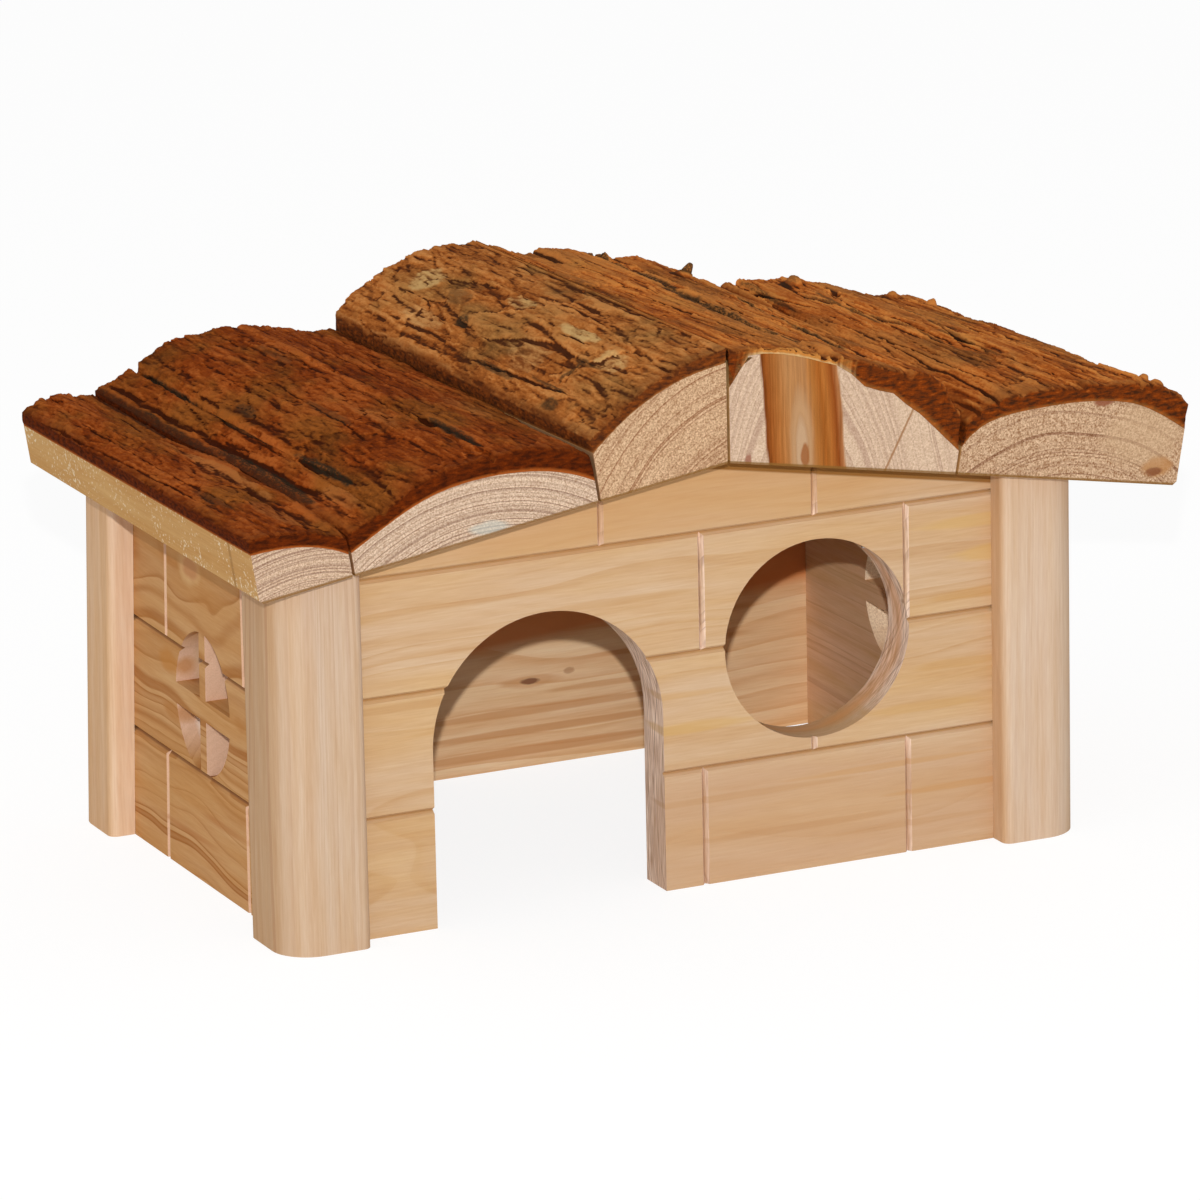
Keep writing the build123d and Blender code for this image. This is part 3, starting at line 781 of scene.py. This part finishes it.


# How each slab's bark has weathered, in millimetres. Places are (a, b): a runs over the top from the slab's
# upper edge, and b is the place along Y. ridge_side keeps the edge at the ridge as high as the rest. Cracks
# are (start, end, half width, depth), worn, discolour_and_shade and dark spots (a, b, half width, half
# length, strength), and knobs (a, b, half width, half length, height). The discolour_and_shade spots are dark
# discolouring, with painted shade along the deep cracks and under the raised flakes.
PLAIN = dict(
    plate_height=0.28, crack_depth=0.3, flake=0.15, strand=(4, 80), strand_height=0.12, crumbs=0.08,
    furrow=(11, 85), furrow_depth=0.3, drawn_out=1, proud=0.7, bite=1.2, ridge_side=0,
    knobs=(), dark=(),
)
STREAKED = dict(
    PLAIN, plate=(7.5, 60), plate_height=0.5, crack_depth=0.45, flake=0.2, strand=(4.2, 110),
    furrow=(9, 90), furrow_depth=0.7, drawn_out=1.7, proud=0.9, crumbs=0.05,
)
STYLES = {
    1: dict(
        PLAIN, plate=(6, 17),
        cracks=(((13, 40), (14, -20), 0.5, 0.35), ((17.3, 50), (17, -30), 0.6, 0.4)),
        knobs=((0.5, -26, 4, 34, 2),),
        worn=((4, -10, 1.4, 26, 0.5), (8, -44, 3, 10, 0.35)),
        discolour_and_shade=((0.2, 22, 1, 36, 1), (14.5, -30, 1.8, 9, 0.5)),
    ),
    2: dict(
        PLAIN, plate=(7, 19),
        cracks=(
            ((47.5, 62), (47.3, 24), 1.5, 0.5), ((46.9, -17), (45.3, -46), 1.2, 0.6),
            ((20.8, -22), (19.6, -54), 1.2, 0.6), ((54.6, 60), (53, -40), 1.6, 0.5),
            ((33, 18), (35, -34), 0.5, 0.3), ((12, 50), (13.5, 4), 0.5, 0.3),
        ),
        knobs=((46.3, 3, 1.7, 19, 1.1), (21.3, 22, 1.6, 36, 0.6), (57, -26, 3.4, 34, 1.8)),
        worn=((28, -20, 2, 9, 0.25), (8, -20, 3, 12, 0.3), (50, -45, 2.5, 8, 0.3)),
        discolour_and_shade=(
            (42.7, 10.8, 1.5, 5, 0.7), (25.7, 31.8, 1, 9, 0.5),
            (47.3, 42, 1.4, 17, 1), (47.8, 8, 0.8, 18, 0.7), (45.6, -31, 1.3, 15, 1),
            (19.8, -40, 1, 13, 0.9), (57.4, 26, 2.2, 34, 1), (55.4, -20, 2.4, 26, 1),
            (33.5, -8, 1, 12, 0.5),
        ),
    ),
    3: dict(
        PLAIN, plate=(9, 30), plate_height=0.5, crack_depth=0.45, flake=0.18, furrow_depth=0.4, ridge_side=5,
        worn=(
            (18.6, 44, 4.2, 5.5, 0.8), (13.2, 8.5, 2.4, 6, 0.65), (14.5, -22, 2, 8.5, 0.9),
            (17.2, -41, 2.8, 6, 0.7), (28, 30, 3, 9, 0.35), (24, -14, 4.5, 9, 0.35),
        ),
        discolour_and_shade=(
            (24.1, 16.8, 1.9, 3, 0.9), (31, -9, 1, 9, 0.8), (28.5, -30, 0.9, 7, 0.8),
            (20, -35, 0.8, 5, 0.7), (32.2, -37, 1.6, 3.5, 0.8), (19, 27, 2.4, 5, 0.5),
            (24, -33, 3.6, 0.7, 0.8),
        ),
        dark=((38.5, -5, 3.5, 60, 0.75),),
        cracks=(((31.6, 4), (28.9, -40), 0.6, 0.6), ((16.6, -15), (16, -33), 0.5, 0.6)),
    ),
    4: dict(
        STREAKED, ridge_side=5,
        cracks=(
            ((29, 64), (23.2, 8), 1.5, 2.2), ((24, 16), (19.9, -38), 1.5, 2.2),
            ((19.2, -30), (25.8, -48), 1, 1.5), ((6.5, 60), (9.5, 20), 0.6, 0.8),
            ((47, 40), (39.7, -14), 1.3, 1.8), ((40.3, -8), (36.4, -44), 1.2, 1.6),
            ((33.5, 30), (31, -20), 0.6, 0.7), ((12.5, 8), (14, -44), 0.5, 0.6),
        ),
        worn=(
            (16, 36, 3, 9, 0.4), (17, -4, 2, 12, 0.45), (3, -8, 2, 10, 0.4),
            (16, -62, 17, 3.4, 0.9), (33.5, -30, 1.4, 12, 0.5),
        ),
        discolour_and_shade=(
            (26.3, 36, 1.4, 26, 1), (21.8, -8, 1.3, 24, 1), (22.5, -40, 1, 8, 0.9),
            (43, 14, 0.9, 26, 0.7), (38.2, -28, 0.8, 16, 0.8), (42.8, 42, 2.4, 3.4, 0.9),
        ),
        dark=((52, -56, 7, 5, 0.8), (45, -60, 8, 3.5, 0.7)),
        knobs=(
            (43, 42, 1, 1.3, 3.3), (42.4, 41, 1.7, 2.6, 1.3), (31, 59, 2.6, 5, 1.1),
            (31.2, 44, 2, 11, 0.9), (28.6, 25, 1.9, 12, 0.9), (26.4, 6, 1.7, 11, 0.8),
            (23.9, -13, 1.4, 11, 0.6),
        ),
    ),
    5: dict(
        STREAKED,
        cracks=(
            ((1.4, 60), (10.4, 26), 1, 0.8), ((12, 44), (20.6, 4), 0.9, 1.2),
            ((20.4, 10), (21.5, -20), 0.8, 0.8), ((36.8, 42), (29.2, 4), 0.9, 1.1),
            ((29.4, 8), (26, -26), 0.9, 1.1), ((27, -20), (29.5, -48), 0.7, 0.8),
            ((33, 40), (38, -30), 0.7, 0.7), ((44, 30), (43, -20), 0.6, 0.7),
            ((10, 0), (13, -50), 0.6, 0.7), ((53.5, -38), (54, -56), 3, 1),
        ),
        worn=((5, 44, 2.6, 8, 0.5), (28, -8, 2.5, 12, 0.3), (16, -20, 2, 12, 0.35), (40, 20, 2, 14, 0.3)),
        discolour_and_shade=(
            (5.5, 44, 0.9, 18, 0.8), (15.5, 26, 0.9, 18, 0.8), (20.8, -4, 0.8, 14, 0.7),
            (32.8, 22, 0.8, 20, 0.8), (27.6, -8, 0.8, 16, 0.7), (14.3, 53, 2.2, 3.4, 0.6),
        ),
        dark=((1, -50, 4, 12, 0.8), (12, -58, 12, 3, 0.5), (43, 55, 4, 4, 0.5)),
        knobs=(
            (15.3, 52.5, 1.5, 2.4, 1.6), (43.6, 56.5, 1.2, 1.7, 1.3), (48.2, 47, 0.9, 1.7, 1.2),
            (54.5, 4, 4.5, 47, 1.2), (51.5, -46, 0.8, 1.6, 1.3), (50, -55, 1.2, 2, 0.9),
        ),
    ),
}

BARKS = {
    "bark_dark": dict(
        crack=(0.05, 0.009, 0.002), deep=(0.14, 0.022, 0.002), mid=(0.275, 0.051, 0.005),
        light=(0.46, 0.115, 0.02), pale=(0.5, 0.19, 0.05), dull=(0.34, 0.105, 0.016),
        inner=0.8, grain=4.5, seed=1,
    ),
    "bark_tan": dict(
        crack=(0.07, 0.02, 0.007), deep=(0.22, 0.052, 0.008), mid=(0.47, 0.15, 0.03),
        light=(0.67, 0.27, 0.074), pale=(0.7, 0.44, 0.17), dull=(0.45, 0.205, 0.055),
        inner=0.3, grain=7, seed=2,
    ),
    "bark_orange": dict(
        crack=(0.06, 0.018, 0.006), deep=(0.24, 0.044, 0.004), mid=(0.52, 0.136, 0.021),
        light=(0.76, 0.275, 0.058), pale=(0.72, 0.3, 0.065), dull=(0.56, 0.2, 0.045),
        inner=0.25, grain=18, seed=2,
    ),
}
SPACING = 0.3  # millimetres between the points of the bark's tops
THINNEST = 0.45  # millimetres of bark left under the deepest furrow
OFF_SLAB = 0.03 * MM  # between the bark's bottom and the slab
RIDGE_GAP = 0.08 * MM  # how far the bark stays from the plane of the ridge
RIDGE_SEED = 300  # the barks that meet at the ridge share their noise
barks = {name: bark_material(name, **looks) for name, looks in BARKS.items()}
for number, slot, seed in (
    (1, "bark_dark", 100), (2, "bark_dark", 200), (3, "bark_tan", RIDGE_SEED),
    (4, "bark_orange", RIDGE_SEED), (5, "bark_orange", 500),
):
    bark = bark_mesh(number, STYLES[number], seed, barks[slot])
    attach(bark, "root")
    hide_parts(f"roof_bark_{number}")


# ---------------- wood

def dress(node, material):
    """Gives a CAD node that material."""
    data = nodes[node].data
    data.materials.clear()
    data.materials.append(material)


EARLY = (0.68, 0.475, 0.3)
LATE = (0.55, 0.3, 0.12)
BLUSH = (0.68, 0.43, 0.19)
# The next two colours darken grooves and joints: grime with painted shade.
GRIME_AND_SHADE = (0.26, 0.11, 0.05)
GROOVE_GRIME_AND_SHADE = (0.52, 0.29, 0.11)
BROWN = (0.56, 0.31, 0.14)
RUST = (0.5, 0.22, 0.07)
STRIPE = (0.66, 0.3, 0.11)

# Faces that carry coloured places, in millimetres.
FRONT_FACE = -50
FRONT_GROOVES = -49.4
BACK_INNER_FACE = 41.1
LEFT_FACE = -86.6
SLAB_FRONT = -59.9


def on_face(along_x, face, depth, at, z, half_length, half_height):
    """The centre and the radii of an oval place on an upright face."""
    if along_x:
        return (at, face, z), (half_length, depth, half_height)
    return (face, at, z), (depth, half_length, half_height)


def streaks(along_x, face, depth, rows):
    """Coloured places on a face: (place, level, half length, half height, colour, strength)."""
    return tuple((*on_face(along_x, face, depth, *oval), tint, strength) for *oval, tint, strength in rows)


def grimy_shaded_grooves(along_x, face, depth, half_length, half_height, levels, joints, grime_and_shade):
    """Thin dark places at the bottoms of a wall's grooves, of grime and painted shade; joints are (place,
    lower level, upper level).
    """
    found = [
        (*on_face(along_x, face, depth, 0, z, half_length, half_height), grime_and_shade, 0.7, True) for z in levels
    ]
    for at, low, high in joints:
        for half_width, tint, strength in ((0.75, EARLY, 0.5), (0.2, GRIME_AND_SHADE, 0.5)):
            oval = on_face(along_x, face, depth, at, (low + high) / 2, half_width, (high - low) / 2)
            found.append((*oval, tint, strength))
    return tuple(found)


wall_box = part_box("front_panel")
middle = (wall_box[0].x + wall_box[1].x) / 2 / MM
LEVELS = (24.15, 48.3, 72.45)
LONG_JOINTS = [(middle + x, low, high) for x, low, high in (
    (5.2, 0, 24), (50.4, 0, 24), (29.5, 24, 48), (5.2, 48, 72), (50.4, 48, 72),
    (-16.4, 72, 92), (30.2, 72, 92),
)]
END_LEVELS = (22.5, 45.8)
END_JOINTS = ((-23.7, 0, 22), (18.5, 0, 22), (-23.7, 46, 68), (18.5, 46, 68))
WINDOW_JAMB = ((23.5, -44.3, 47.4), (26, 5.2, 26), (0.78, 0.37, 0.13), 0.85)

dress("front_panel", wood(
    "front_pine", X, (-95, 20), 3.4, EARLY, LATE, BLUSH, end_early=(0.92, 0.71, 0.57),
    end_late=(0.5, 0.33, 0.27), wave=4.5, wave_length=60, contrast=0.5, end_contrast=0.8, rough=0.3,
    # The front wall's top edge carries a painted shadow of the roof.
    torn=(0.4, 7), finish=painted_roof_shadow, seed=1,
    # The front wall's grooves are darkened with grime and painted shade.
    places=grimy_shaded_grooves(True, FRONT_GROOVES, 3, 150, 0.32, LEVELS, LONG_JOINTS, GROOVE_GRIME_AND_SHADE)
    + (WINDOW_JAMB,) + streaks(True, FRONT_FACE, 9, (
        (-62, 46, 30, 1, (0.56, 0.31, 0.13), 0.5),
        (60, 52, 14, 1.3, (0.6, 0.33, 0.11), 0.5),
        (55, 38, 12, 1.2, (0.6, 0.33, 0.11), 0.45),
        (-20, 61, 22, 1, (0.58, 0.33, 0.14), 0.4),
        (-10, 80, 75, 9, (0.62, 0.345, 0.15), 0.45),
        (15, 11, 80, 15, (0.6, 0.365, 0.225), 0.45),
        (66, 60, 14, 2, (0.68, 0.42, 0.13), 0.55),
        (62, 67, 18, 1.6, (0.68, 0.43, 0.15), 0.5),
        (-30, 40, 40, 1.1, (0.62, 0.35, 0.13), 0.45),
        (-5, 33, 16, 1.4, (0.66, 0.4, 0.13), 0.5),
        (6, 17.5, 30, 0.9, BROWN, 0.4),
        (40, 18.8, 26, 0.8, (0.6, 0.32, 0.12), 0.45),
        (20, 9, 30, 0.9, (0.54, 0.29, 0.13), 0.4),
        (55, 12.5, 18, 0.9, (0.6, 0.31, 0.11), 0.45),
        (45, 6, 24, 0.8, BROWN, 0.35),
        (46, 30, 16, 1.2, (0.64, 0.37, 0.12), 0.4),
    )),
))
dress("back_panel", wood(
    "back_pine", X, (88, 40), 6.2, (0.99, 0.73, 0.47), (0.74, 0.37, 0.15), (0.9, 0.56, 0.27),
    # The back wall's upper inner face carries a painted shadow.
    wave=4, wave_length=70, contrast=0.7, patches=0.3, finish=painted_shadow_above, seed=2,
    places=streaks(True, BACK_INNER_FACE, 8, (
        (5, 12.1, 42, 1.1, STRIPE, 0.6),
        (8, 7.9, 44, 1, STRIPE, 0.65),
        (2, 3.6, 46, 1.2, STRIPE, 0.65),
        (20, 15.6, 18, 0.8, STRIPE, 0.5),
        (34, 22, 24, 1, STRIPE, 0.5),
        (34, 28, 24, 1, STRIPE, 0.4),
        (1.8, 18.4, 8, 1.6, STRIPE, 0.45),
        (1.8, 18.4, 2.5, 0.8, (0.26, 0.11, 0.06), 0.9),
        (10.8, 19.5, 1.5, 0.8, (0.5, 0.24, 0.12), 0.6),
    )),
))
dress("left_end_panel", wood(
    "left_pine", Y, (-112, 66), 5.2, (0.64, 0.37, 0.17), (0.4, 0.155, 0.045), (0.6, 0.31, 0.11),
    end_early=(0.76, 0.5, 0.35), end_late=(0.66, 0.41, 0.27), wave=8, wave_length=45, contrast=1,
    end_contrast=0.4, rough=0.05, seed=3,
    places=grimy_shaded_grooves(False, LEFT_FACE, 7, 90, 0.45, END_LEVELS, END_JOINTS, GRIME_AND_SHADE) + (
        ((-81.5, 8, 31), (5, 5.5, 6.5), (0.95, 0.88, 0.8), 0.9),
        ((-81, 10, 41.5), (5.2, 5, 6), (0.62, 0.42, 0.23), 0.6),
    ) + streaks(False, LEFT_FACE, 4, (
        (17, 41.5, 7, 3.4, (0.55, 0.24, 0.065), 0.7),
        (15.5, 31.5, 6.5, 2.6, RUST, 0.7),
        (-21.5, 38, 5, 2.2, RUST, 0.6),
        (5, 63.5, 7.5, 4.2, (0.72, 0.46, 0.22), 0.75),
        (4.6, 63.8, 5.8, 3, (0.56, 0.27, 0.12), 0.9),
        (8, 8.5, 26, 1.2, (0.48, 0.2, 0.07), 0.6),
        (-12, 14.5, 20, 1.3, (0.48, 0.2, 0.07), 0.55),
    )),
))
dress("right_end_panel", wood(
    "right_pine", Y, (50, 90), 4.4, (0.84, 0.56, 0.37), (0.62, 0.35, 0.21), BLUSH,
    end_early=(0.98, 0.78, 0.56), end_late=(0.6, 0.33, 0.16), contrast=0.7, end_contrast=0.2, seed=4,
))
PALE = (0.66, 0.495, 0.365)
ROSE = (0.54, 0.35, 0.24)
# paler lightens a corner's moulding wood; at the back left it is painted light, making up for the flash
# falling off there.
for name, pith, paler, contrast, seed in (
    ("front_left", (-130, -30), 1, 0.8, 5), ("front_right", (130, -40), 1.1, 0.4, 6),
    ("back_left", (-140, 90), 1.24, 0.35, 7), ("back_right", (120, 90), 1.1, 0.5, 8),
):
    pale, rose = (tuple(c * paler for c in colour) for colour in (PALE, ROSE))
    dress(f"corner_moulding_{name}", wood(
        f"moulding_pine_{name}", Z, pith, 2.2, pale, rose, (0.68 * paler, 0.48 * paler, 0.3 * paler),
        # Each moulding's side that faces -X gets painted shade.
        contrast=contrast, patches=0.3, finish=painted_shade_left_side, seed=seed,
    ))

SLAB_FACE = (0.62, 0.36, 0.145)
SLAB_LATE = (0.55, 0.32, 0.13)


def dress_slab(number, pith, ring, end_early, end_late, finish, **looks):
    """Gives a slab its wood, with the rings of its end grain in front and behind."""
    dress(f"roof_slab_{number}", wood(
        f"slab_wood_{number}", Y, pith, ring, SLAB_FACE, SLAB_LATE, BLUSH, end_early, end_late,
        finish=finish, seed=10 + number, **{"end_contrast": 1, **looks},
    ))


dress_slab(1, (-88, 46), 1.25, (0.7, 0.51, 0.365), (0.2, 0.08, 0.05), sawdust, wave=0.6, rough=0.26)
dress_slab(
    2, (-50, 42), 1.3, (0.74, 0.555, 0.41), (0.2, 0.085, 0.05), darker_joint_sides, wave=1, rough=0.26,
    places=streaks(True, SLAB_FRONT, 6, ((-51.3, 82.4, 5, 1.6, (0.55, 0.6, 0.55), 0.5),)),
)
dress_slab(3, (10, 68), 2.8, (0.66, 0.44, 0.27), (0.34, 0.15, 0.07), darker_joint_sides, wave=1.4, rough=0.32)
dress_slab(
    4, (16, 40), 2.6, (0.72, 0.53, 0.38), (0.42, 0.25, 0.18), heartwood, flatten=3.2, wave=2.2,
    wave_length=60, end_contrast=0.7, rough=0.16,
    places=streaks(True, SLAB_FRONT, 5, ((4.2, 88.6, 0.8, 1.6, (0.34, 0.13, 0.08), 0.8),)),
)
dress_slab(
    5, (72, 46), 2.1, (0.64, 0.43, 0.275), (0.32, 0.16, 0.09), low_edge, wave=1.4, rough=0.38,
    places=streaks(True, SLAB_FRONT, 8, (
        (95, 75.6, 4, 2.4, (0.5, 0.24, 0.09), 0.85),
        (94.2, 74.6, 2.2, 1, (0.22, 0.07, 0.03), 0.8),
        (72, 74, 5, 0.7, (0.4, 0.18, 0.07), 0.7),
        (92, 82.5, 10, 8, (0.64, 0.43, 0.255), 0.45),
        (83, 90.4, 2.6, 1, (0.3, 0.1, 0.05), 0.9),
    )),
)

steel, tree, shader = new_material("brad_steel", 0.35, 0.5)
shader.inputs["Metallic"].default_value = 1.0
grime = cloud(millimetres(tree), (0.5, 0.5, 2.5), detail=3)
feed(shader.inputs["Base Color"], mix(grime, (0.42, 0.42, 0.43), (0.66, 0.66, 0.67)))
for node in ("roof_brads", "wall_brads"):
    dress(node, steel)


# ---------------- floor, light and camera

FLOOR_REACH = 8.0
mesh = bpy.data.meshes.new("floor")
corners = [(x * FLOOR_REACH, y * FLOOR_REACH, 0) for x, y in ((-1, -1), (1, -1), (1, 1), (-1, 1))]
mesh.from_pydata(corners, [], [(0, 1, 2, 3)])
floor = placed("floor", mesh)

# The floor keeps the house's shadow, and otherwise shows as white as the world behind it.
WHITENESS = 0.76
material = bpy.data.materials.new("floor_white")
material.use_nodes = True
tree = material.node_tree
tree.nodes.clear()
ray = add(tree, "LightPath").outputs
diffuse = add(tree, "BsdfDiffuse", Color=(0.9, 0.9, 0.9, 1)).outputs[0]
white = add(tree, "Emission", Color=(1, 1, 1, 1), Strength=1.12).outputs[0]
seen = times(maths("MAXIMUM", ray["Is Camera Ray"], ray["Is Glossy Ray"]), WHITENESS)
shown = add(tree, "MixShader", i0=seen, i1=diffuse, i2=white).outputs[0]
add(tree, "OutputMaterial", Surface=shown)
floor.data.materials.append(material)

# The world lights with this strength, and shows with a strength of 1.
AMBIENT = 0.5
world = bpy.data.worlds.new("studio")
bpy.context.scene.world = world
world.use_nodes = True
tree = world.node_tree
tree.nodes.clear()
ray = add(tree, "LightPath").outputs
seen = maths("MAXIMUM", ray["Is Camera Ray"], ray["Is Transmission Ray"])
level = plus(times(seen, 1 - AMBIENT), AMBIENT)
add(tree, "OutputWorld", Surface=add(tree, "Background", Color=(1, 1, 1, 1), Strength=level).outputs[0])

# A weak lamp at infinity, on the left. Azimuth 0 would shine along +Y, and 90 along -X.
azimuth, elevation = math.radians(-80.0), math.radians(24.0)
fill_data = bpy.data.lights.new("fill", "SUN")
fill_data.energy = 0.2
fill_data.angle = math.radians(25.0)
fill_data.color = (1.0, 0.98, 0.95)
fill = placed("fill", fill_data)
towards_x, towards_y = math.sin(azimuth) * math.cos(elevation), -math.cos(azimuth) * math.cos(elevation)
fill.rotation_mode = "QUATERNION"
fill.rotation_quaternion = Vector((towards_x, towards_y, math.sin(elevation))).to_track_quat("Z", "Y")

# A small flash over the camera casts the sharp shadows.
flash_data = bpy.data.lights.new("flash", "POINT")
flash_data.energy = 50.0
flash_data.shadow_soft_size = 0.009
flash_data.color = (1.0, 0.99, 0.97)
flash = placed("flash", flash_data)
flash.location = (-0.660, -1.43, 0.585)

# The camera comes from a fit to the photo's corners, grooves and edges.
camera_data = bpy.data.cameras.new("camera")
camera = placed("camera", camera_data)
bpy.context.scene.camera = camera
camera_data.sensor_width = 36.0
camera_data.lens = 243.95
camera_data.clip_start = 0.05
camera_data.clip_end = 30.0
camera.location = (-0.665651, -1.441531, 0.490482)
yaw, pitch, roll = math.radians(24.763), math.radians(-15.630), math.radians(-1.249)
forward = Vector((math.sin(yaw) * math.cos(pitch), math.cos(yaw) * math.cos(pitch), math.sin(pitch)))
level_right = Vector((math.cos(yaw), -math.sin(yaw), 0))
level_up = level_right.cross(forward)
right = math.cos(roll) * level_right + math.sin(roll) * level_up
up = -math.sin(roll) * level_right + math.cos(roll) * level_up
camera.rotation_mode = "QUATERNION"
camera.rotation_quaternion = Matrix((right, up, -forward)).transposed().to_quaternion()

bpy.context.scene.view_settings.view_transform = "Standard"
